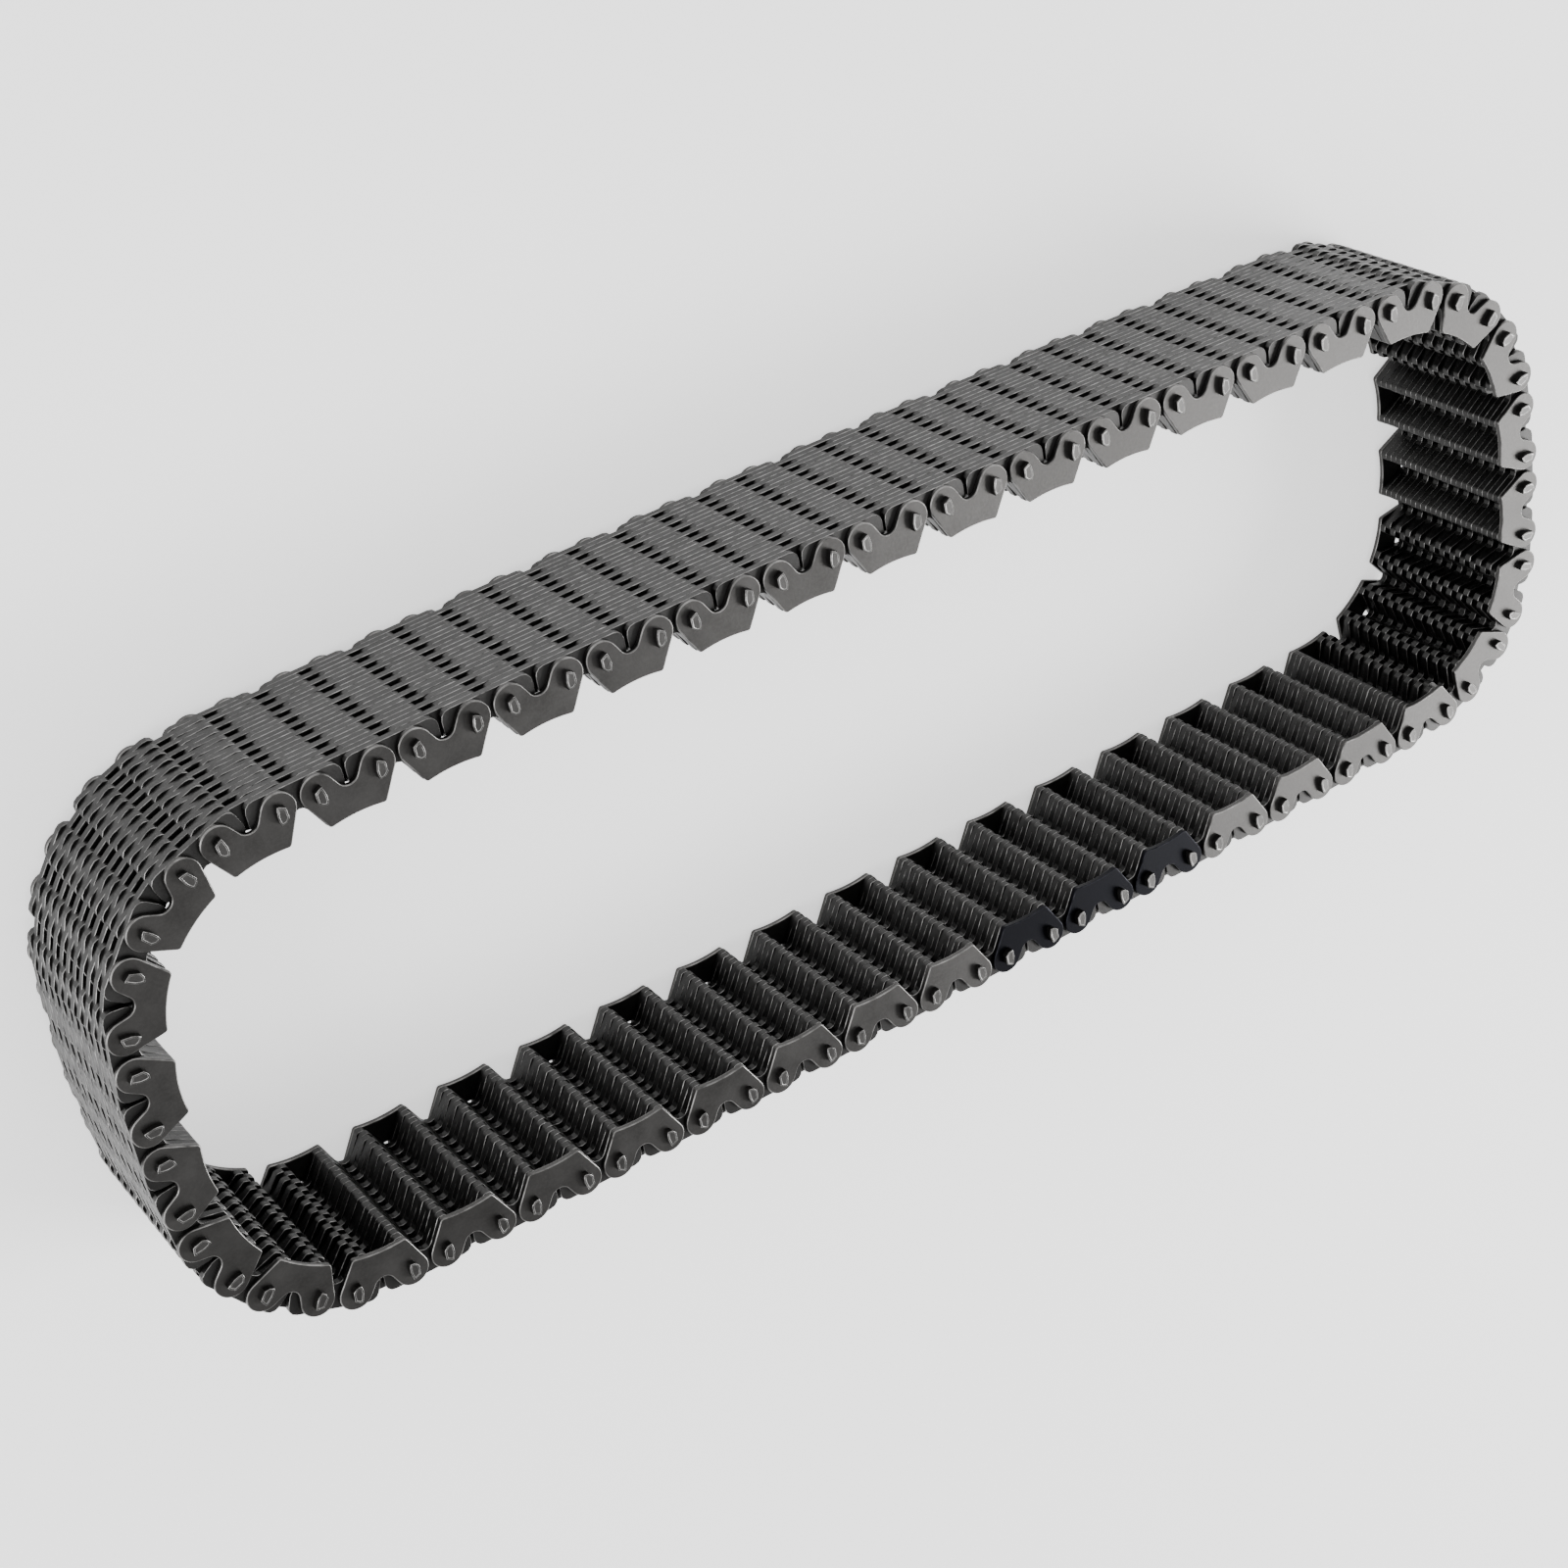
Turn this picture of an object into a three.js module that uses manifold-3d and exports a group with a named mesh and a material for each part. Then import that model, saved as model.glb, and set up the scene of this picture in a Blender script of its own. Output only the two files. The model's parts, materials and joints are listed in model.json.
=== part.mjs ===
// Endless inverted-tooth (silent) drive chain lying on its side, hinge axes along +Z.
// Units are millimetres. The loop lies in the XY plane, its long way along X, and rests on its pin ends at Z = 0.
// A plate's own frame has u along the chain, clockwise seen from +Z, and v towards the outside of the loop.
import * as THREE from "three";
import { mergeVertices } from "three/addons/utils/BufferGeometryUtils.js";
import Module from "manifold-3d";

const wasm = await Module();
wasm.setup();

// Chain: rows alternate between guide rows (even) and centre rows (odd), one pitch each.
const pitch = 9.525;
const rowCount = 84;
const quarterRows = rowCount / 4;

// Loop at rest: long runs and short ends bow slightly, and four round corners join them.
const cornerRadius = 34;
const endHalfLength = 20.4;
const runBow = THREE.MathUtils.degToRad(1.5);
const endBow = THREE.MathUtils.degToRad(6.4);

// Stack across the width: pin end, guide plate, link plates, guide plate, pin end. The link plates that
// interleave one by one are joined here into packs: a guide row has two outer packs, a centre row one between.
const pinProud = 1.3;
const guideThickness = 1.1;
const plateSpacing = 1.58;
const platesAcross = 23;
const centrePlates = 12;
const innerWidth = platesAcross * plateSpacing;
const packGap = 0.3;
const overallWidth = innerWidth + 2 * guideThickness + 2 * pinProud;

// Link plate: two teeth with a deep crotch between them, square ends and a flat back.
const plateHalfLength = 9.25;
const plateBack = 3.9;
const plateCorner = 1.1;
const flankTop = -0.9;
const toothDepth = 7;
const toothOuter = 5.2;
const toothInner = 3.9;
const crotchHalfWidth = 1.15;
const crotchShoulder = 2.1;
const crotchFloor = 1.5;

// Guide plate: two round ears with a notch between them over a trapezoid foot.
const earCentreU = 5.8;
const earCentreV = 0.5;
const earRadius = 3.5;
const notchFloor = -0.7;
const footHalfLength = 5.35;
const footDepth = 7.1;

// Rocker joint: each row's own pin lies just past the pivot, seen from the row's middle.
const pinClearance = 0.15;
const pinSection = [
  [0.12, -1.8],
  [1.95, -1.3],
  [1.95, 1.1],
  [0.12, 1.65],
];
// Hole that leaves the other row's pin room to swing from straight to a tight corner.
const swingHole = [
  [-1.05, 2],
  [0.9, 2.6],
  [2.65, 1.1],
  [2.65, -1.5],
  [-0.45, -2.25],
];
const openPivotGrowth = 0.35;

// Links: forty rigid pairs of rows, and a single row in the middle of each run and each end.
const topLink = 0;
const rightLink = 11;
const bottomLink = 22;
const leftLink = 33;
const linkCount = 44;
const markerLinks = [19, 20, 21];

const steel = (name, color, roughness) =>
  new THREE.MeshStandardMaterial({ name, color, roughness, metalness: 1 });
const guideSteel = steel("guide_plate_steel", 0x8a8886, 0.42);
const markerSteel = steel("marker_plate_steel", 0x1d1f28, 0.5);
const plateSteel = steel("link_plate_steel", 0x4c4b4a, 0.45);
const pinSteel = steel("pin_steel", 0x9a9896, 0.3);

// How far the chain has turned, in radians, at a distance along a quarter of the loop.
function turnedBy(distance) {
  const cornerTurn = Math.PI / 2 - runBow - endBow;
  const cornerLength = cornerRadius * cornerTurn;
  const runHalfLength = quarterRows * pitch - cornerLength - endHalfLength;
  const along = (start, length) => THREE.MathUtils.clamp((distance - start) / length, 0, 1);
  const run = runBow * along(0, runHalfLength);
  const corner = cornerTurn * along(runHalfLength, cornerLength);
  const end = endBow * along(runHalfLength + cornerLength, endHalfLength);
  return run + corner + end;
}

// Heading of a row's plates: each quarter of the loop mirrors the one before it.
function headingOf(row) {
  const quarter = Math.floor(row / quarterRows);
  const rows = row - quarter * quarterRows;
  const mirrored = quarter % 2 === 1;
  const distance = (mirrored ? quarterRows - rows : rows) * pitch;
  const turned = mirrored ? Math.PI / 2 - turnedBy(distance) : turnedBy(distance);
  return -(quarter * Math.PI) / 2 - turned;
}

// Rows laid end to end along their headings, then centred on the origin.
function layRows() {
  const step = (row) => new THREE.Vector2(pitch, 0).rotateAround(new THREE.Vector2(), headingOf(row));
  const start = step(0).multiplyScalar(-0.5);
  const pivots = [start];
  for (let row = 0; row < rowCount; row += 1) {
    pivots.push(pivots[row].clone().add(step(row)));
  }
  const centre = pivots[0].clone().add(pivots[1]).add(pivots[rowCount / 2]).add(pivots[rowCount / 2 + 1]);
  centre.multiplyScalar(0.25);
  return Array.from({ length: rowCount }, (_, row) => {
    const middle = pivots[row].clone().add(pivots[row + 1]).multiplyScalar(0.5).sub(centre);
    return new THREE.Matrix4().makeRotationZ(headingOf(row)).setPosition(middle.x, middle.y, 0);
  });
}

const rowFrames = layRows();

// Half an outline, from its top middle clockwise to its bottom middle, completed by its mirror image.
function mirroredOutline(half) {
  const mirror = half.filter(([u]) => u > 1e-6).map(([u, v]) => [-u, v]);
  return [...half, ...mirror.reverse()];
}

function arcPoints(centreU, centreV, radius, fromDegrees, toDegrees, steps) {
  return Array.from({ length: steps + 1 }, (_, i) => {
    const angle = THREE.MathUtils.degToRad(fromDegrees + ((toDegrees - fromDegrees) * i) / steps);
    return [centreU + radius * Math.cos(angle), centreV + radius * Math.sin(angle)];
  });
}

const linkOutline = mirroredOutline([
  [plateHalfLength - plateCorner, plateBack],
  [plateHalfLength, plateBack - plateCorner],
  [plateHalfLength, flankTop],
  [toothOuter, -toothDepth],
  [toothInner, -toothDepth],
  [crotchHalfWidth, -crotchShoulder],
  [0, -crotchFloor],
]);

const guideOutline = mirroredOutline([
  [0, notchFloor],
  ...arcPoints(earCentreU, earCentreV, earRadius, 170, -34, 4),
  [footHalfLength, -footDepth],
]);

// A convex outline with every edge moved outwards.
function grown(points, distance) {
  const signedArea = THREE.ShapeUtils.area(points.map(([u, v]) => new THREE.Vector2(u, v)));
  const outward = Math.sign(signedArea) * distance;
  const edges = points.map(([u, v], i) => {
    const [nextU, nextV] = points[(i + 1) % points.length];
    const length = Math.hypot(nextU - u, nextV - v);
    const normal = [(nextV - v) / length, -(nextU - u) / length];
    return { normal, offset: normal[0] * u + normal[1] * v + outward };
  });
  return edges.map((edge, i) => {
    const before = edges[(i + edges.length - 1) % edges.length];
    const [a, b] = before.normal;
    const [c, d] = edge.normal;
    const scale = 1 / (a * d - b * c);
    return [(before.offset * d - b * edge.offset) * scale, (a * edge.offset - before.offset * c) * scale];
  });
}

// A prism of an outline in a row's frame, between two heights.
function prism(points, row, low, high) {
  const shape = new THREE.Shape(points.map(([u, v]) => new THREE.Vector2(u, v)));
  const geometry = new THREE.ExtrudeGeometry(shape, { depth: high - low, bevelEnabled: false });
  geometry.translate(0, 0, low);
  geometry.applyMatrix4(rowFrames[row]);
  geometry.deleteAttribute("normal");
  geometry.deleteAttribute("uv");
  const merged = mergeVertices(geometry, 1e-4);
  const mesh = new wasm.Mesh({
    numProp: 3,
    vertProperties: merged.attributes.position.array,
    triVerts: new Uint32Array(merged.index.array),
  });
  return new wasm.Manifold(mesh);
}

const joined = (solids) => solids.reduce((whole, solid) => whole.add(solid));

function meshOf(name, solid, material) {
  const { numProp, vertProperties, triVerts } = solid.getMesh();
  const position = new Float32Array((vertProperties.length / numProp) * 3);
  for (let i = 0; i < position.length / 3; i += 1) {
    position.set(vertProperties.subarray(i * numProp, i * numProp + 3), i * 3);
  }
  const indexed = new THREE.BufferGeometry();
  indexed.setAttribute("position", new THREE.BufferAttribute(position, 3));
  indexed.setIndex(new THREE.BufferAttribute(triVerts, 1));
  const faceted = indexed.toNonIndexed();
  faceted.computeVertexNormals();
  const mesh = new THREE.Mesh(faceted, material);
  mesh.name = name;
  return mesh;
}

// Heights of the guide plates, packs and rocker pins, counted from the lower pin ends.
const innerLow = pinProud + guideThickness;
const centreLow = innerLow + (innerWidth - centrePlates * plateSpacing) / 2;
const mirroredSpan = ([low, high], upper) => (upper ? [overallWidth - high, overallWidth - low] : [low, high]);
const guideSpan = (upper) => mirroredSpan([pinProud, innerLow], upper);
const outerPackSpan = (upper, gap) => mirroredSpan([innerLow + gap, centreLow - packGap], upper);
const centrePackSpan = [centreLow, overallWidth - centreLow];
const longPinSpan = [0, overallWidth];
const rockerPinSpan = [innerLow + packGap, overallWidth - innerLow - packGap];
const isGuideRow = (row) => row % 2 === 0;
const rowAt = (row) => (row + rowCount) % rowCount;

// A pin section or hole of one row, at its start (-1) or its end (1).
const atOwnPin = (points, side) => points.map(([u, v]) => [side * (pitch / 2 + u), v]);
const atOtherPin = (points, side) => points.map(([u, v]) => [side * (pitch / 2 - u), v]);

const pinSpan = (row) => (isGuideRow(row) ? longPinSpan : rockerPinSpan);
const pinOf = (row, side) => prism(atOwnPin(pinSection, side), row, ...pinSpan(row));
const pinSeat = (row, side) => prism(atOwnPin(grown(pinSection, pinClearance), side), row, -1, overallWidth + 1);
const swingRoom = (row, side, growth) =>
  prism(atOtherPin(grown(swingHole, growth), side), row, -1, overallWidth + 1);

const guidePlate = (row, upper) => prism(guideOutline, row, ...guideSpan(upper));
// Rows of a link: the chain is cut into links so that each quarter of the loop mirrors the next.
function rowsOf(link) {
  if (link % rightLink === 0) {
    return [(link / rightLink) * quarterRows];
  }
  const quarter = Math.floor(link / rightLink);
  const first = quarter * quarterRows + 1 + 2 * ((link % rightLink) - 1);
  return [first, first + 1];
}

// Rows with rocker pins that are pieces of their own, so their neighbours need a hole for them.
const rockerRows = [rightLink, leftLink].flatMap(rowsOf);
const openRow = rowsOf(bottomLink)[0] - 1;

// A row's pack between two heights, cut for the pins of the rows that swing against it.
function pack(row, span, swingSides) {
  let solid = prism(linkOutline, row, ...span);
  for (const side of swingSides) {
    const neighbour = rowAt(row + side);
    if (isGuideRow(neighbour) || rockerRows.includes(neighbour)) {
      const growth = row === openRow && side === 1 ? openPivotGrowth : 0;
      solid = solid.subtract(swingRoom(row, side, growth));
    }
  }
  return solid;
}

// A rigid pair: a guide row and a centre row that share the long pin between them.
function pairLink(link, separateGuide) {
  const rows = rowsOf(link);
  const swingSides = (row) => [row === rows[0] ? -1 : 1];
  const guideRow = rows.find(isGuideRow);
  const centreRow = rows.find((row) => !isGuideRow(row));
  return joined([
    pack(centreRow, centrePackSpan, swingSides(centreRow)),
    pack(guideRow, outerPackSpan(false, 0), swingSides(guideRow)),
    pack(guideRow, outerPackSpan(true, separateGuide ? packGap : 0), swingSides(guideRow)),
    ...[-1, 1].map((side) => pinOf(guideRow, side)),
    guidePlate(guideRow, false),
    ...(separateGuide ? [] : [guidePlate(guideRow, true)]),
  ]);
}

// A piece of one row with a seat for each of the row's two pins.
const seated = (solid, row) => solid.subtract(pinSeat(row, -1)).subtract(pinSeat(row, 1));

// The middle row of a run in its real order: guide plates outside, packs inside, two long pins through them.
function runMiddleMeshes(link, place) {
  const [row] = rowsOf(link);
  const sideMeshes = [false, true].flatMap((upper) => {
    const side = upper ? "front" : "rear";
    const plates = seated(pack(row, outerPackSpan(upper, packGap), []), row);
    return [
      meshOf(place + "_link_" + side + "_guide_plate", seated(guidePlate(row, upper), row), guideSteel),
      meshOf(place + "_link_" + side + "_plate_pack", plates, plateSteel),
    ];
  });
  return [
    ...sideMeshes,
    meshOf(place + "_link_long_pin_a", pinOf(row, -1), pinSteel),
    meshOf(place + "_link_long_pin_b", pinOf(row, 1), pinSteel),
  ];
}

// The middle row of the right end: a pack of link plates on its two short rocker pins.
function rightEndMeshes() {
  const [row] = rowsOf(rightLink);
  return [
    meshOf("right_end_link_plate_pack", seated(pack(row, centrePackSpan, [-1, 1]), row), plateSteel),
    meshOf("right_end_link_rocker_pin_a", pinOf(row, -1), pinSteel),
    meshOf("right_end_link_rocker_pin_b", pinOf(row, 1), pinSteel),
  ];
}

// The middle row of the left end, with its rocker pins pressed in as one piece.
function leftEndMesh() {
  const [row] = rowsOf(leftLink);
  const solids = [pack(row, centrePackSpan, [-1, 1]), pinOf(row, -1), pinOf(row, 1)];
  return meshOf("left_end_link", joined(solids), plateSteel);
}

const chain = new THREE.Group();
chain.name = "silent_chain";
for (let link = 0; link < linkCount; link += 1) {
  if (link === topLink) {
    chain.add(...runMiddleMeshes(link, "top"));
  } else if (link === rightLink) {
    chain.add(...rightEndMeshes());
  } else if (link === bottomLink) {
    chain.add(...runMiddleMeshes(link, "bottom"));
  } else if (link === leftLink) {
    chain.add(leftEndMesh());
  } else {
    const number = String(link).padStart(2, "0");
    const marked = markerLinks.includes(link);
    chain.add(meshOf("link_pair_" + number, pairLink(link, marked), guideSteel));
    if (marked) {
      const guideRow = rowsOf(link).find(isGuideRow);
      const plate = seated(guidePlate(guideRow, true), guideRow);
      chain.add(meshOf("marker_guide_plate_" + number, plate, markerSteel));
    }
  }
}

export default chain;
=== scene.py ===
import json
import math
import random

import bpy
import numpy as np
from mathutils import Matrix, Vector


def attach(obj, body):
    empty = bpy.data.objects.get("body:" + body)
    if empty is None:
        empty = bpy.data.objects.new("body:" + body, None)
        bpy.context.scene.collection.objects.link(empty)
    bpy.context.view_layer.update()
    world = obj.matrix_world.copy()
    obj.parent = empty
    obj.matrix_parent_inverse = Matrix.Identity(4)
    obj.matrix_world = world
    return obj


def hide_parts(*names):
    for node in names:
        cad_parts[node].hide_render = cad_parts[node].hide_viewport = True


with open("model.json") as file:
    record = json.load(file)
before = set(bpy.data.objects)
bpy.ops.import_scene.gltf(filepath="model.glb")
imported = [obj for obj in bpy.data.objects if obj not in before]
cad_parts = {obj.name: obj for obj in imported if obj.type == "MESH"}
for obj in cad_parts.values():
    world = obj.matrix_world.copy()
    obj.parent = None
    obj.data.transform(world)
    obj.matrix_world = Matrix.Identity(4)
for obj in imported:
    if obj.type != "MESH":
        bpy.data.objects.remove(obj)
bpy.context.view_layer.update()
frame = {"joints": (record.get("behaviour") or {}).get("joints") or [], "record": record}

bpy.ops.object.select_all(action='DESELECT')
mm = 0.001

# Looking down on the front face of the lying loop, turned so that the long runs climb to the right.
cameraView = {
    "place": (-0.2504, 0.2877, 0.4437),
    "right": (0.8214, -0.1524, 0.5497),
    "up": (0.3982, 0.8431, -0.3614),
    "lens": 64.9,
}


def addCamera(view):
    right = Vector(view["right"]).normalized()
    up = Vector(view["up"])
    up = (up - right * up.dot(right)).normalized()
    back = right.cross(up)
    turn = Matrix((right, up, back)).transposed().to_4x4()
    bpy.ops.object.camera_add()
    camera = bpy.context.active_object
    camera.name = "mainCamera"
    camera.matrix_world = Matrix.Translation(view["place"]) @ turn
    camera.data.lens = view["lens"]
    camera.data.clip_start = 0.01
    bpy.context.scene.camera = camera


addCamera(cameraView)
print("camera placed")


# Where the rows of the chain lie, from the frame's hinges.
linkNames = list(frame["record"]["behaviour"]["bodies"])
linkCount = len(linkNames)
singleLinks = (0, 11, 22, 33)        # one row each, in the middle of a run or an end
rowCount = 2 * linkCount - len(singleLinks)
hingePlaces = {}
for joint in frame["joints"]:
    hingePlaces[int(joint["name"].split("_")[1])] = Vector(joint["pos_m"][:2])
openHinge = 21
# The loop is the same turned half round, so the open pivot lies opposite a closed one.
hingePlaces[openHinge] = -hingePlaces[openHinge + linkCount // 2]
pitch = (hingePlaces[0] - hingePlaces[linkCount - 1]).length


# A pair of rows bends outwards at its middle pivot, one pitch from the pivots at its two ends.
def middlePivot(start, end):
    half = (end - start) / 2
    rise = math.sqrt(max(pitch ** 2 - half.length_squared, 0))
    outward = Vector((-half.y, half.x)).normalized()
    return start + half + outward * rise


rowsOfLink = []
rowEnds = []
for link in range(linkCount):
    start = hingePlaces[(link - 1) % linkCount]
    end = hingePlaces[link]
    if link in singleLinks:
        rowsOfLink.append([len(rowEnds)])
        rowEnds.append((start, end))
    else:
        middle = middlePivot(start, end)
        rowsOfLink.append([len(rowEnds), len(rowEnds) + 1])
        rowEnds.append((start, middle))
        rowEnds.append((middle, end))


def rowMatrix(row):
    start, end = rowEnds[row]
    along = end - start
    centre = (start + end) / 2
    turn = Matrix.Rotation(math.atan2(along.y, along.x), 4, 'Z')
    return Matrix.Translation((centre.x, centre.y, 0)) @ turn


print("rows found:", rowCount, "pitch in mm:", round(pitch / mm, 3))


# Corners are (u, v, radius, steps); a round corner becomes an arc tangent to its two sides.
def roundedOutline(corners):
    points = []
    for i, (u, v, radius, steps) in enumerate(corners):
        here = Vector((u, v))
        before = Vector(corners[i - 1][:2]) - here
        after = Vector(corners[(i + 1) % len(corners)][:2]) - here
        if radius == 0:
            points.append(here)
            continue
        halfAngle = before.angle(after) / 2
        bisector = (before.normalized() + after.normalized()).normalized()
        centre = here + bisector * (radius / math.sin(halfAngle))
        first = here + before.normalized() * (radius / math.tan(halfAngle)) - centre
        last = here + after.normalized() * (radius / math.tan(halfAngle)) - centre
        sweep = first.angle_signed(last)
        for step in range(steps + 1):
            spoke = Matrix.Rotation(-sweep * step / steps, 2) @ first
            points.append(centre + spoke)
    return points


# The right half of a corner list, from top to bottom, with its mirror image.
def mirroredCorners(half):
    return half + [(-u, v, radius, steps) for u, v, radius, steps in reversed(half) if u > 0]


levelEnough = 1e-7        # in metres: two points this close in height lie in one flat face


# A flat filled ring of points, drawn up into a prism and rounded along both rims.
def prismFromOutline(name, outline, low, high, rim, rimSteps):
    bpy.ops.object.select_all(action='DESELECT')
    bpy.ops.mesh.primitive_circle_add(vertices=len(outline), radius=mm, fill_type='NGON')
    piece = bpy.context.active_object
    piece.name = name
    for vertex, (u, v) in zip(piece.data.vertices, outline):
        vertex.co = (u * mm, v * mm, low * mm)
    bpy.ops.object.mode_set(mode='EDIT')
    bpy.ops.mesh.select_all(action='SELECT')
    bpy.ops.mesh.extrude_region_move(TRANSFORM_OT_translate={"value": (0, 0, (high - low) * mm)})
    bpy.ops.mesh.select_all(action='SELECT')
    bpy.ops.mesh.normals_make_consistent(inside=False)
    bpy.ops.mesh.select_mode(type='EDGE')
    bpy.ops.mesh.select_all(action='DESELECT')
    bpy.ops.object.mode_set(mode='OBJECT')
    if rim > 0:
        coords = piece.data.vertices
        for edge in piece.data.edges:
            a, b = edge.vertices
            edge.select = abs(coords[a].co.z - coords[b].co.z) < levelEnough
        bpy.ops.object.mode_set(mode='EDIT')
        bpy.ops.mesh.bevel(offset=rim * mm, segments=rimSteps, affect='EDGES', clamp_overlap=True)
        bpy.ops.object.mode_set(mode='OBJECT')
    return piece


# Cuts a prism of an outline right through a piece.
def cutThrough(piece, outline):
    overshoot = 1
    low = min(v.co.z for v in piece.data.vertices) / mm
    high = max(v.co.z for v in piece.data.vertices) / mm
    cutter = prismFromOutline("cutter", outline, low - overshoot, high + overshoot, 0, 1)
    bpy.ops.object.select_all(action='DESELECT')
    piece.select_set(True)
    bpy.context.view_layer.objects.active = piece
    bpy.ops.object.modifier_add(type='BOOLEAN')
    modifier = piece.modifiers[-1]
    modifier.object = cutter
    modifier.operation = 'DIFFERENCE'
    modifier.solver = 'EXACT'
    bpy.ops.object.modifier_apply(modifier=modifier.name)
    bpy.data.objects.remove(cutter)


# How far a rim strip's normal may lean out of the plate, between an upright wall and a flat face.
rimLean = {"least": 0.12, "most": 0.97}


# Rim strips are shaded round and marked 1 in the attribute "rolledEdge"; flat faces stay flat and 0.
def markRims(piece):
    mesh = piece.data
    marks = mesh.attributes.new("rolledEdge", 'FLOAT', 'CORNER')
    for face in mesh.polygons:
        isRim = rimLean["least"] < abs(face.normal.z) < rimLean["most"]
        face.use_smooth = isRim
        for corner in face.loop_indices:
            marks.data[corner].value = 1.0 if isRim else 0.0


linkPlate = {
    "thickness": 1.53,
    "rim": 0.09,
    "inGuideRow": 11,
    "inCentreRow": 12,
    "shake": 0.06,
    "halfOutline": [
        (9.2, 3.85, 1.9, 3),
        (9.2, -0.9, 1.6, 1),
        (5.3, -6.95, 0.6, 2),
        (3.85, -6.95, 0.5, 2),
        (0, 0.3, 1.58, 4),
    ],
}
# The pear-shaped hole for the row's own pin and, nearer the middle, the other row's pin with room to rock.
pinAperture = [
    (-2.6, 1.1),
    (-0.95, 2.45),
    (1.1, 2.2),
    (2.16, 1.35),
    (2.16, -1.5),
    (1.2, -2.1),
    (-0.4, -2.3),
    (-2.6, -1.5),
]
guidePlate = {
    "thickness": 1.1,
    "rim": 0.2,
    "rimSteps": 3,
    "ear": {"u": 5.8, "v": 0.5, "radius": 3.38, "steps": 16},
    "notch": {"floor": -0.72, "radius": 2.05, "steps": 6},
    "foot": {"u": 5.45, "v": -7.05, "radius": 0.7, "arch": 0.55, "steps": 5},
}
pin = {
    "proud": 1.3,
    "rockerGap": 0.1,
    "rim": 0.1,
    "rimSteps": 2,
    "section": [
        (0.55, 1.86),
        (1, 1.74),
        (2.04, 1.14),
        (2.04, -0.9),
        (1.3, -1.62),
        (0.3, -1.8),
        (0.08, -0.9),
        (0.07, 0),
        (0.28, 0.95),
    ],
    "panel": {"border": 0.18, "slope": 0.1, "depth": 0.04},
}
across = {"plates": 23, "spacing": 1.58}
innerWidth = across["plates"] * across["spacing"]
overallWidth = innerWidth + 2 * guidePlate["thickness"] + 2 * pin["proud"]


def beside(points, side):
    return [(side * (pitch / mm / 2 + u), v) for u, v in points]


def arcPoints(centreU, centreV, radius, start, end, steps):
    angles = [math.radians(start + (end - start) * step / steps) for step in range(steps + 1)]
    return [(centreU + radius * math.cos(angle), centreV + radius * math.sin(angle)) for angle in angles]


# Two round ears and a round notch joined by short straight slopes,
# then flanks down to a foot with an arched underside.
def guideOutline():
    ear = guidePlate["ear"]
    foot = guidePlate["foot"]
    notch = guidePlate["notch"]
    earCentre = Vector((ear["u"], ear["v"]))
    notchCentre = Vector((0, notch["floor"] + notch["radius"]))
    between = earCentre - notchCentre
    slopeSide = math.acos((ear["radius"] + notch["radius"]) / between.length)
    touch = math.degrees(math.atan2(between.y, between.x) - slopeSide)
    points = arcPoints(0, notchCentre.y, notch["radius"], -90, touch, notch["steps"])
    toFoot = Vector((foot["u"], foot["v"])) - earCentre
    flank = math.degrees(math.atan2(toFoot.y, toFoot.x) + math.acos(ear["radius"] / toFoot.length))
    points += arcPoints(ear["u"], ear["v"], ear["radius"], 180 + touch, flank, ear["steps"])
    corners = [(u, v, 0, 0) for u, v in points]
    corners.append((foot["u"], foot["v"], foot["radius"], 3))
    for step in range(1, foot["steps"] + 1):
        share = 1 - step / foot["steps"]
        corners.append((foot["u"] * share, foot["v"] + foot["arch"] * (1 - share ** 2), 0, 0))
    mirror = [(-u, v, radius, steps) for u, v, radius, steps in reversed(corners) if u > 1e-6]
    return roundedOutline(corners + mirror)


def modelLinkPlate():
    outline = roundedOutline(mirroredCorners(linkPlate["halfOutline"]))
    piece = prismFromOutline("linkPlateMaster", outline, 0, linkPlate["thickness"], linkPlate["rim"], 1)
    for side in (-1, 1):
        cutThrough(piece, beside(pinAperture, side))
    markRims(piece)
    return piece


def modelGuidePlate():
    thickness, rim, rimSteps = guidePlate["thickness"], guidePlate["rim"], guidePlate["rimSteps"]
    piece = prismFromOutline("guidePlateMaster", guideOutline(), 0, thickness, rim, rimSteps)
    markRims(piece)
    return piece


# Selects just the faces that pass a test, and stays in edit mode.
def selectFaces(piece, test):
    bpy.ops.object.mode_set(mode='EDIT')
    bpy.ops.mesh.select_mode(type='FACE')
    bpy.ops.mesh.select_all(action='DESELECT')
    bpy.ops.object.mode_set(mode='OBJECT')
    for face in piece.data.polygons:
        face.select = test(face)
    bpy.ops.object.mode_set(mode='EDIT')


def modelPin(name, low, high, side):
    piece = prismFromOutline(name, beside(pin["section"], side), low, high, pin["rim"], pin["rimSteps"])
    panel = pin["panel"]
    selectFaces(piece, lambda face: abs(face.normal.z) > 0.99)
    bpy.ops.mesh.inset(thickness=panel["border"] * mm, depth=0)
    bpy.ops.mesh.inset(thickness=panel["slope"] * mm, depth=-panel["depth"] * mm)
    bpy.ops.object.mode_set(mode='OBJECT')
    markRims(piece)
    return piece


print("modelling the plates and pins")
linkPlateMaster = modelLinkPlate()
guidePlateMaster = modelGuidePlate()
guideTop = pin["proud"] + guidePlate["thickness"]
rockerLow = guideTop + pin["rockerGap"]
rockerHigh = overallWidth - rockerLow
longPinMasters = {side: modelPin("longPinMaster", 0, overallWidth, side) for side in (-1, 1)}
rockerPinMasters = {side: modelPin("rockerPinMaster", rockerLow, rockerHigh, side) for side in (-1, 1)}


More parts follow.
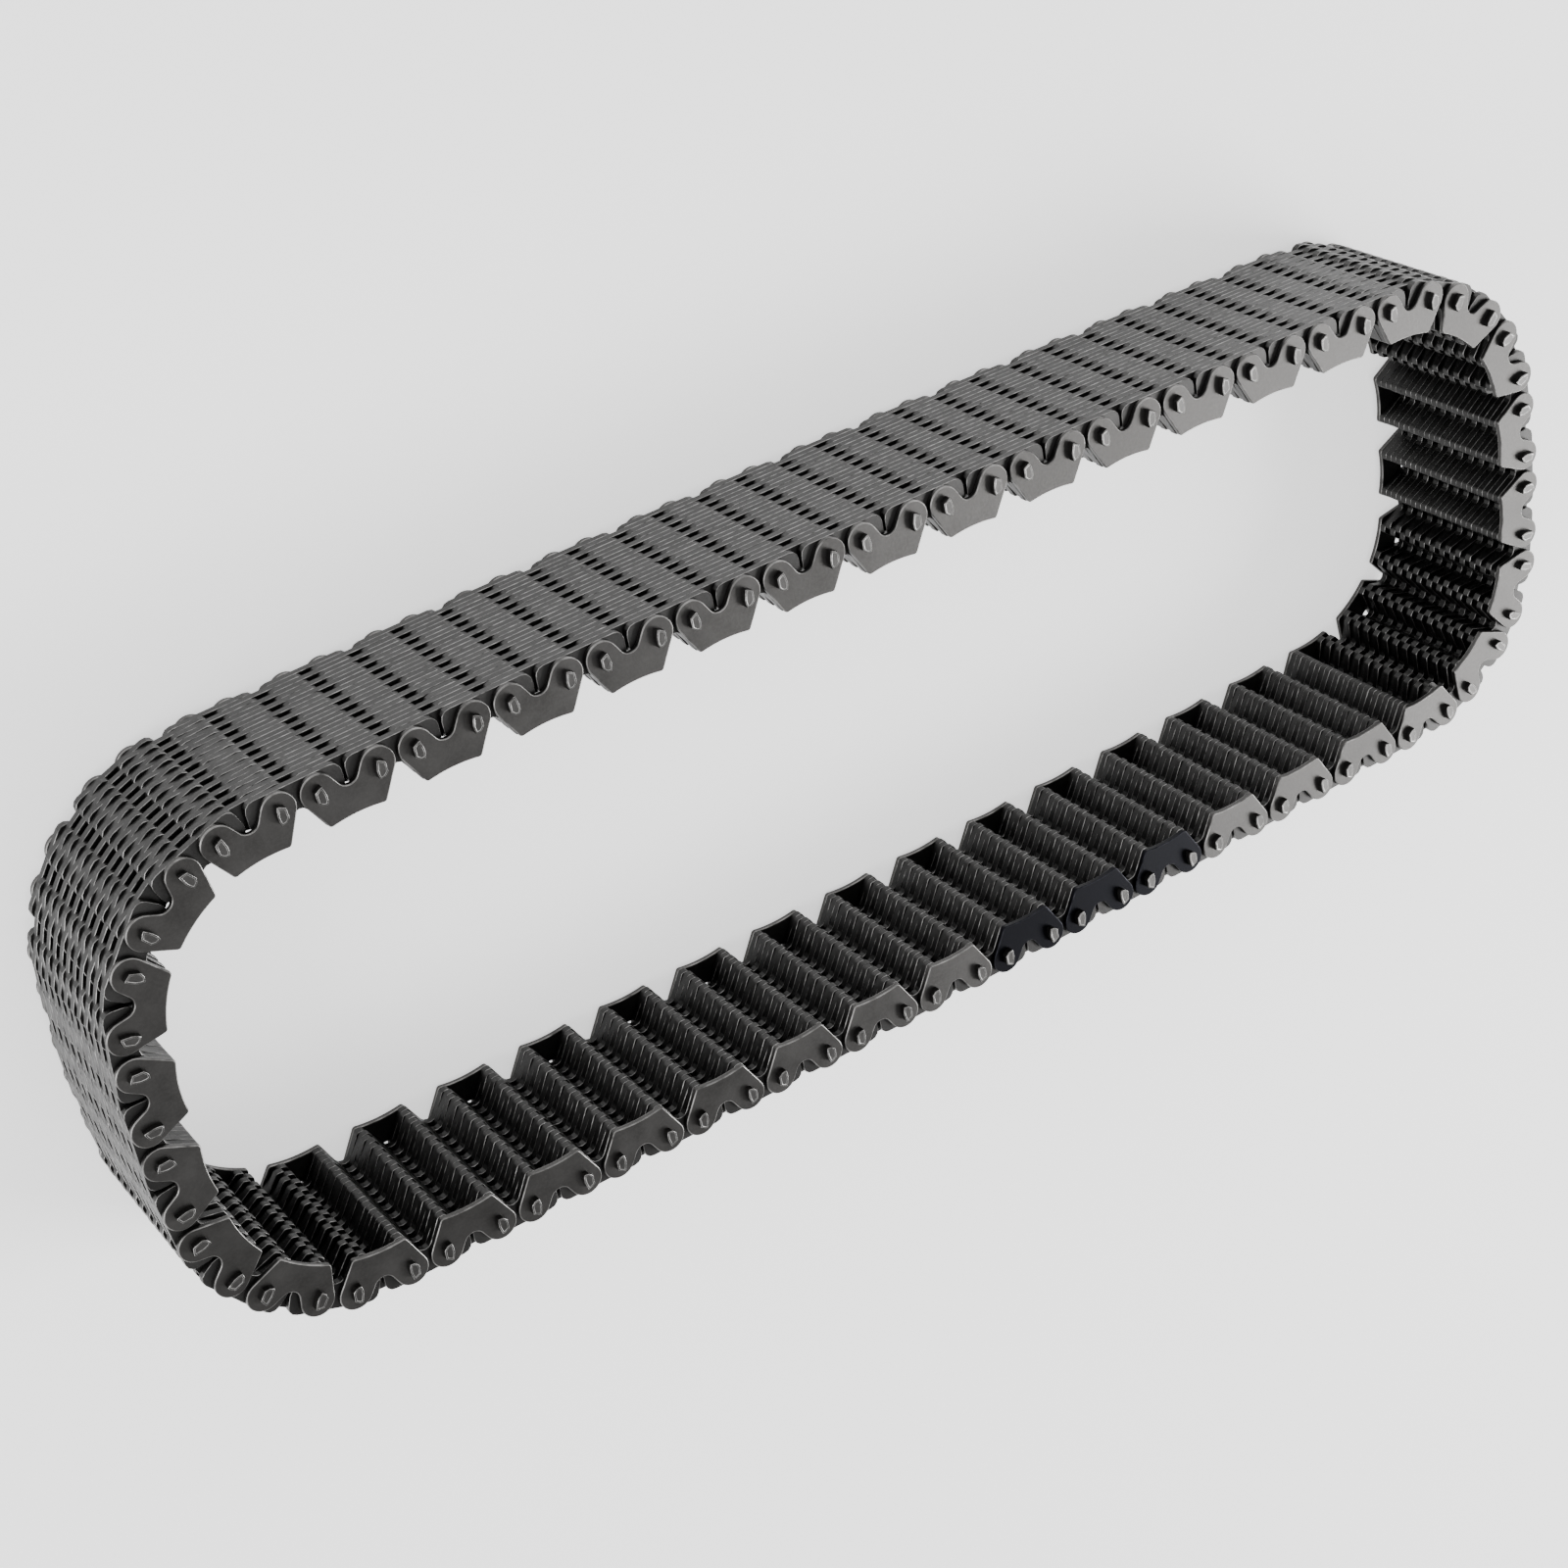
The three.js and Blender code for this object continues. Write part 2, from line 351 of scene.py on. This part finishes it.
# A row's plates, every other one across the width: centre rows take the outer places.
def stackPlates(name, count):
    bpy.ops.object.select_all(action='DESELECT')
    linkPlateMaster.select_set(True)
    bpy.context.view_layer.objects.active = linkPlateMaster
    bpy.ops.object.duplicate()
    stack = bpy.context.active_object
    stack.name = name
    bpy.ops.object.modifier_add(type='ARRAY')
    modifier = stack.modifiers[-1]
    modifier.count = count
    modifier.use_relative_offset = False
    modifier.use_constant_offset = True
    modifier.constant_offset_displace = (0, 0, 2 * across["spacing"] * mm)
    bpy.ops.object.modifier_apply(modifier=modifier.name)
    width = (2 * count - 2) * across["spacing"] + linkPlate["thickness"]
    lift = (overallWidth - width) / 2 * mm
    stack.data.transform(Matrix.Translation((0, 0, lift)))
    return stack


stackMasters = {}
for kind, count in (("guideRow", linkPlate["inGuideRow"]), ("centreRow", linkPlate["inCentreRow"])):
    stackMasters[kind] = (stackPlates(kind + "Stack", count), count)
chance = random.Random(7)


# How much painted shade a link plate carries, against v in mm: most on the tooth walls inside the loop,
# none on the back.
paintedShadeByDepth = ([-6.95, -6.2, -2.6, -1.8, 0.5], [0.4, 0.75, 1, 0.75, 0])


# A copy of a master in a row's place; each of its equal parts sits a hair off and has its own tone.
def placeCopy(master, row, name, parts=1, shake=0.0, paintedShade=False):
    mesh = master.data.copy()
    count = len(mesh.vertices)
    coords = np.empty(count * 3, np.float32)
    mesh.vertices.foreach_get("co", coords)
    coords = coords.reshape(parts, -1, 3)
    # Link plates carry a per-point amount of painted shade, taken from the table above.
    if paintedShade:
        shade = mesh.attributes.new("paintedShade", 'FLOAT', 'POINT')
        depths = coords[:, :, 1].ravel() / mm
        shade.data.foreach_set("value", np.interp(depths, *paintedShadeByDepth).astype(np.float32))
    tones = np.empty((parts, count // parts), np.float32)
    for part in range(parts):
        coords[part, :, 0] += chance.uniform(-shake, shake) * mm
        coords[part, :, 1] += chance.uniform(-shake, 0) * mm
        tones[part] = chance.random()
    mesh.vertices.foreach_set("co", coords.ravel())
    tone = mesh.attributes.new("plateTone", 'FLOAT', 'POINT')
    tone.data.foreach_set("value", tones.ravel())
    mesh.transform(rowMatrix(row))
    mesh.update()
    piece = bpy.data.objects.new(name, mesh)
    bpy.context.scene.collection.objects.link(piece)
    return piece


def joinPieces(pieces, name):
    bpy.ops.object.select_all(action='DESELECT')
    for piece in pieces:
        piece.select_set(True)
    bpy.context.view_layer.objects.active = pieces[0]
    if len(pieces) > 1:
        bpy.ops.object.join()
    joined = bpy.context.active_object
    joined.name = name
    return joined


groups = {}


def newGroup(name, inputs, outputs):
    group = bpy.data.node_groups.new(name, 'ShaderNodeTree')
    for socketName, default in inputs:
        socket = group.interface.new_socket(socketName, in_out='INPUT', socket_type='NodeSocketFloat')
        socket.default_value = default
    for socketName in outputs:
        group.interface.new_socket(socketName, in_out='OUTPUT', socket_type='NodeSocketFloat')
    start = group.nodes.new('NodeGroupInput')
    end = group.nodes.new('NodeGroupOutput')
    groups[name] = group
    return group, start, end


def mathNode(tree, operation, a, b=None, clamp=False):
    node = tree.nodes.new('ShaderNodeMath')
    node.operation = operation
    node.use_clamp = clamp
    for socket, value in zip(node.inputs, (a, b)):
        if value is None:
            continue
        if isinstance(value, (int, float)):
            socket.default_value = value
        else:
            tree.links.new(value, socket)
    return node.outputs[0]


# Tumbled metal: a fine pitted grain, broad clouds, and their sum as a height.
def buildTumbledGrain():
    sizes = [("Grain Size", 0.5), ("Cloud Size", 6.0)]
    group, start, end = newGroup("tumbledGrain", sizes, ["Grain", "Cloud", "Height"])
    place = group.nodes.new('ShaderNodeTexCoord')
    grain = group.nodes.new('ShaderNodeTexNoise')
    grain.inputs['Detail'].default_value = 3
    grain.inputs['Roughness'].default_value = 0.65
    cloud = group.nodes.new('ShaderNodeTexNoise')
    cloud.inputs['Detail'].default_value = 4
    for node, size in ((grain, "Grain Size"), (cloud, "Cloud Size")):
        group.links.new(place.outputs['Object'], node.inputs['Vector'])
        group.links.new(mathNode(group, 'DIVIDE', 1000, start.outputs[size]), node.inputs['Scale'])
    group.links.new(grain.outputs['Fac'], end.inputs["Grain"])
    group.links.new(cloud.outputs['Fac'], end.inputs["Cloud"])
    halfCloud = mathNode(group, 'MULTIPLY', cloud.outputs['Fac'], 0.5)
    height = mathNode(group, 'ADD', grain.outputs['Fac'], halfCloud)
    group.links.new(height, end.inputs["Height"])


# Rims partly worn bright and partly given a painted highlight: the marked rim strips, broken up so that
# some stretches are brighter.
def buildRimWear():
    group, start, end = newGroup("rimWear", [("Patch Size", 2.0), ("Amount", 0.8)], ["Wear"])
    place = group.nodes.new('ShaderNodeTexCoord')
    rim = group.nodes.new('ShaderNodeAttribute')
    rim.attribute_name = "rolledEdge"
    patches = group.nodes.new('ShaderNodeTexNoise')
    patches.inputs['Detail'].default_value = 3
    group.links.new(place.outputs['Object'], patches.inputs['Vector'])
    group.links.new(mathNode(group, 'DIVIDE', 1000, start.outputs["Patch Size"]), patches.inputs['Scale'])
    patchy = mathNode(group, 'SUBTRACT', patches.outputs['Fac'], 0.25)
    broken = mathNode(group, 'MULTIPLY', patchy, 2.0, clamp=True)
    wornAndHighlit = mathNode(group, 'MULTIPLY', rim.outputs['Fac'], broken)
    wearAndHighlight = mathNode(group, 'MULTIPLY', wornAndHighlit, start.outputs["Amount"], clamp=True)
    group.links.new(wearAndHighlight, end.inputs["Wear"])


# Punched side walls carry fine shear lines across the plate; flat faces carry none.
def buildShearLines():
    group, start, end = newGroup("shearLines", [("Line Size", 0.25)], ["Lines"])
    place = group.nodes.new('ShaderNodeTexCoord')
    stretch = group.nodes.new('ShaderNodeMapping')
    stretch.inputs['Scale'].default_value = (1, 1, 0.12)
    lines = group.nodes.new('ShaderNodeTexNoise')
    lines.inputs['Detail'].default_value = 2
    group.links.new(place.outputs['Object'], stretch.inputs['Vector'])
    group.links.new(stretch.outputs['Vector'], lines.inputs['Vector'])
    group.links.new(mathNode(group, 'DIVIDE', 1000, start.outputs["Line Size"]), lines.inputs['Scale'])
    facing = group.nodes.new('ShaderNodeNewGeometry')
    split = group.nodes.new('ShaderNodeSeparateXYZ')
    group.links.new(facing.outputs['True Normal'], split.inputs['Vector'])
    side = mathNode(group, 'SUBTRACT', 1, mathNode(group, 'ABSOLUTE', split.outputs['Z']), clamp=True)
    group.links.new(mathNode(group, 'MULTIPLY', lines.outputs['Fac'], side), end.inputs["Lines"])


def addGroup(tree, name, **values):
    node = tree.nodes.new('ShaderNodeGroup')
    node.node_tree = groups[name]
    for socket, value in values.items():
        node.inputs[socket.replace("_", " ")].default_value = value
    return node


def mixColour(tree, amount, first, second):
    node = tree.nodes.new('ShaderNodeMix')
    node.data_type = 'RGBA'
    for socketName, value in (('Factor', amount), ('A', first), ('B', second)):
        socket = node.inputs[socketName]
        if isinstance(value, bpy.types.NodeSocket):
            tree.links.new(value, socket)
        elif isinstance(value, tuple):
            socket.default_value = (*value, 1)
        else:
            socket.default_value = value
    return node.outputs['Result']


# One steel, with its own colours and finish.
def steelMaterial(name, look):
    material = bpy.data.materials.new(name)
    material.use_nodes = True
    tree = material.node_tree
    shader = tree.nodes['Principled BSDF']
    shader.inputs['Metallic'].default_value = 1
    grain = addGroup(tree, "tumbledGrain", Grain_Size=look["grainSize"], Cloud_Size=look["cloudSize"])
    rim = addGroup(tree, "rimWear", Patch_Size=look["wearAndHighlightPatch"], Amount=look["wearAndHighlight"])
    shear = addGroup(tree, "shearLines", Line_Size=look["shearSize"])
    tone = tree.nodes.new('ShaderNodeAttribute')
    tone.attribute_name = "plateTone"
    cloudy = mixColour(tree, grain.outputs["Cloud"], look["dark"], look["light"])
    peaks = mathNode(tree, 'SUBTRACT', grain.outputs["Grain"], 0.4)
    speck = mathNode(tree, 'MULTIPLY', peaks, look["speck"], clamp=True)
    specked = mixColour(tree, speck, cloudy, look["light"])
    toneAmount = mathNode(tree, 'MULTIPLY', tone.outputs['Fac'], look["toneSpread"])
    toned = mixColour(tree, toneAmount, specked, look["dark"])
    # Painted shade: link plates darken toward a near-black colour on the tooth walls, where the inner side
    # of the loop lies in shade.
    paintedShade = tree.nodes.new('ShaderNodeAttribute')
    paintedShade.attribute_name = "paintedShade"
    shadedColour = mixColour(tree, mathNode(tree, 'MULTIPLY', paintedShade.outputs['Fac'], 0.95), toned, look["paintedShade"])
    # Rims mix toward the bright colour: partly rubbed wear, partly a painted highlight along the plate
    # edges.
    wornAndHighlit = mixColour(tree, rim.outputs["Wear"], shadedColour, look["brightWearAndHighlight"])
    tree.links.new(wornAndHighlit, shader.inputs['Base Color'])
    rough = mathNode(tree, 'MULTIPLY_ADD', grain.outputs["Cloud"], look["roughSpread"])
    rough.node.inputs[2].default_value = look["rough"]
    smoother = mathNode(tree, 'MULTIPLY', rim.outputs["Wear"], look["wearPolish"])
    tree.links.new(mathNode(tree, 'SUBTRACT', rough, smoother, clamp=True), shader.inputs['Roughness'])
    lines = mathNode(tree, 'MULTIPLY', shear.outputs["Lines"], look["shear"])
    height = mathNode(tree, 'ADD', grain.outputs["Height"], lines)
    bump = tree.nodes.new('ShaderNodeBump')
    bump.inputs['Strength'].default_value = look["bump"]
    bump.inputs['Distance'].default_value = 0.05 * mm
    tree.links.new(height, bump.inputs['Height'])
    tree.links.new(bump.outputs['Normal'], shader.inputs['Normal'])
    return material


print("mixing the steels")
buildTumbledGrain()
buildRimWear()
buildShearLines()
# Each steel's shade colour is painted shade. Only link plates carry the attribute that lays it on.
guideSteel = steelMaterial("guidePlateSteel", {
    "dark": (0.032, 0.031, 0.03), "light": (0.082, 0.08, 0.078), "brightWearAndHighlight": (0.5, 0.49, 0.48),
    "paintedShade": (0.01, 0.01, 0.01),
    "grainSize": 0.7, "cloudSize": 6.0, "wearAndHighlightPatch": 3.0, "wearAndHighlight": 0.75, "speck": 1.2, "toneSpread": 0.35,
    "rough": 0.34, "roughSpread": 0.16, "wearPolish": 0.08, "shearSize": 0.3, "shear": 1.0, "bump": 0.35,
})
markerSteel = steelMaterial("bluedMarkerSteel", {
    "dark": (0.0024, 0.0025, 0.0035), "light": (0.0048, 0.005, 0.007), "brightWearAndHighlight": (0.05, 0.05, 0.06),
    "paintedShade": (0.004, 0.004, 0.004),
    "grainSize": 0.7, "cloudSize": 8.0, "wearAndHighlightPatch": 2.0, "wearAndHighlight": 0.8, "speck": 0.5, "toneSpread": 0.2,
    "rough": 0.36, "roughSpread": 0.12, "wearPolish": 0.05, "shearSize": 0.3, "shear": 0.8, "bump": 0.2,
})
# The bright colour here and in the other steels is partly worn metal, partly a painted highlight on the
# rims.
plateSteel = steelMaterial("oiledPlateSteel", {
    "dark": (0.024, 0.0237, 0.0234), "light": (0.062, 0.061, 0.06), "brightWearAndHighlight": (0.6, 0.59, 0.58),
    "paintedShade": (0.02, 0.0198, 0.0194),
    "grainSize": 0.45, "cloudSize": 5.0, "wearAndHighlightPatch": 1.6, "wearAndHighlight": 0.8, "speck": 1.2, "toneSpread": 0.5,
    "rough": 0.33, "roughSpread": 0.2, "wearPolish": 0.08, "shearSize": 0.25, "shear": 1.6, "bump": 0.5,
})
pinSteel = steelMaterial("groundPinSteel", {
    "dark": (0.035, 0.034, 0.033), "light": (0.1, 0.098, 0.096), "brightWearAndHighlight": (0.6, 0.59, 0.58),
    "paintedShade": (0.02, 0.02, 0.02),
    "grainSize": 0.4, "cloudSize": 2.5, "wearAndHighlightPatch": 1.2, "wearAndHighlight": 0.8, "speck": 0.9, "toneSpread": 0.4,
    "rough": 0.3, "roughSpread": 0.18, "wearPolish": 0.05, "shearSize": 0.2, "shear": 0.6, "bump": 0.3,
})

markerLinks = (19, 20, 21)


def finishPiece(piece, material, body, nodes):
    piece.data.materials.clear()
    piece.data.materials.append(material)
    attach(piece, body)
    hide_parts(*nodes)


def isGuideRow(row):
    return row % 2 == 0


def nodesNamed(body, word):
    nodes = frame["record"]["behaviour"]["bodies"][body]
    found = [node for node in nodes if word in node]
    return found or [nodes[0]]


def buildLink(link):
    body = linkNames[link]
    stacks = []
    pins = []
    for row in rowsOfLink[link]:
        kind = "guideRow" if isGuideRow(row) else "centreRow"
        master, count = stackMasters[kind]
        stacks.append(placeCopy(master, row, "stack", parts=count, shake=linkPlate["shake"], paintedShade=True))
        pinMasters = longPinMasters if isGuideRow(row) else rockerPinMasters
        pins += [placeCopy(pinMasters[side], row, "pin") for side in (-1, 1)]
    plates = joinPieces(stacks, body + "_plates")
    finishPiece(plates, plateSteel, body, nodesNamed(body, "pack"))
    finishPiece(joinPieces(pins, body + "_pins"), pinSteel, body, nodesNamed(body, "_pin_"))
    guideRows = [row for row in rowsOfLink[link] if isGuideRow(row)]
    for row in guideRows:
        for side, low in (("rear", pin["proud"]), ("front", overallWidth - guideTop)):
            piece = placeCopy(guidePlateMaster, row, body + "_" + side + "_guide")
            piece.data.transform(Matrix.Translation((0, 0, low * mm)))
            if side == "front" and link in markerLinks:
                finishPiece(piece, markerSteel, body, nodesNamed(body, "marker"))
            else:
                finishPiece(piece, guideSteel, body, nodesNamed(body, side + "_guide"))


print("building", linkCount, "links")
for link in range(linkCount):
    buildLink(link)

masters = [linkPlateMaster, guidePlateMaster, *longPinMasters.values(), *rockerPinMasters.values()]
masters += [stack for stack, count in stackMasters.values()]
for master in masters:
    bpy.data.objects.remove(master)


studio = {
    "floor": 40.0,
    "floorDrop": 0.0002,        # the floor lies this far under the pin ends
    "floorColour": (0.92, 0.92, 0.92),
    "floorGlow": 1.0,
    "skyStrength": 0.6,
    "lights": [
        {"name": "softboxRight", "place": (0.95, -0.55, 0.75), "size": 0.6, "power": 18.0},
        {"name": "softboxTop", "place": (-0.1, -0.1, 1.1), "size": 0.9, "power": 3.0},
        {"name": "softboxBack", "place": (0.5, 0.85, 0.5), "size": 0.5, "power": 1.5},
        {"name": "softboxLeft", "place": (-0.95, 0.05, 0.45), "size": 0.6, "power": 6.0},
    ],
}


def addFloor():
    bpy.ops.object.select_all(action='DESELECT')
    bpy.ops.mesh.primitive_plane_add(size=studio["floor"], location=(0, 0, -studio["floorDrop"]))
    floor = bpy.context.active_object
    floor.name = "floor"
    material = bpy.data.materials.new("paleFloor")
    material.use_nodes = True
    shader = material.node_tree.nodes['Principled BSDF']
    shader.inputs['Base Color'].default_value = (*studio["floorColour"], 1)
    shader.inputs['Roughness'].default_value = 0.9
    shader.inputs['Emission Color'].default_value = (1, 1, 1, 1)
    shader.inputs['Emission Strength'].default_value = studio["floorGlow"]
    floor.data.materials.append(material)


def addLights():
    world = bpy.data.worlds.new("softSky")
    world.use_nodes = True
    world.node_tree.nodes['Background'].inputs['Color'].default_value = (1, 1, 1, 1)
    world.node_tree.nodes['Background'].inputs['Strength'].default_value = studio["skyStrength"]
    bpy.context.scene.world = world
    for light in studio["lights"]:
        bpy.ops.object.light_add(type='AREA', location=light["place"])
        lamp = bpy.context.active_object
        lamp.name = light["name"]
        lamp.data.size = light["size"]
        lamp.data.energy = light["power"]
        lamp.rotation_euler = Vector(light["place"]).to_track_quat('Z', 'Y').to_euler()


addFloor()
addLights()
print("stage set")
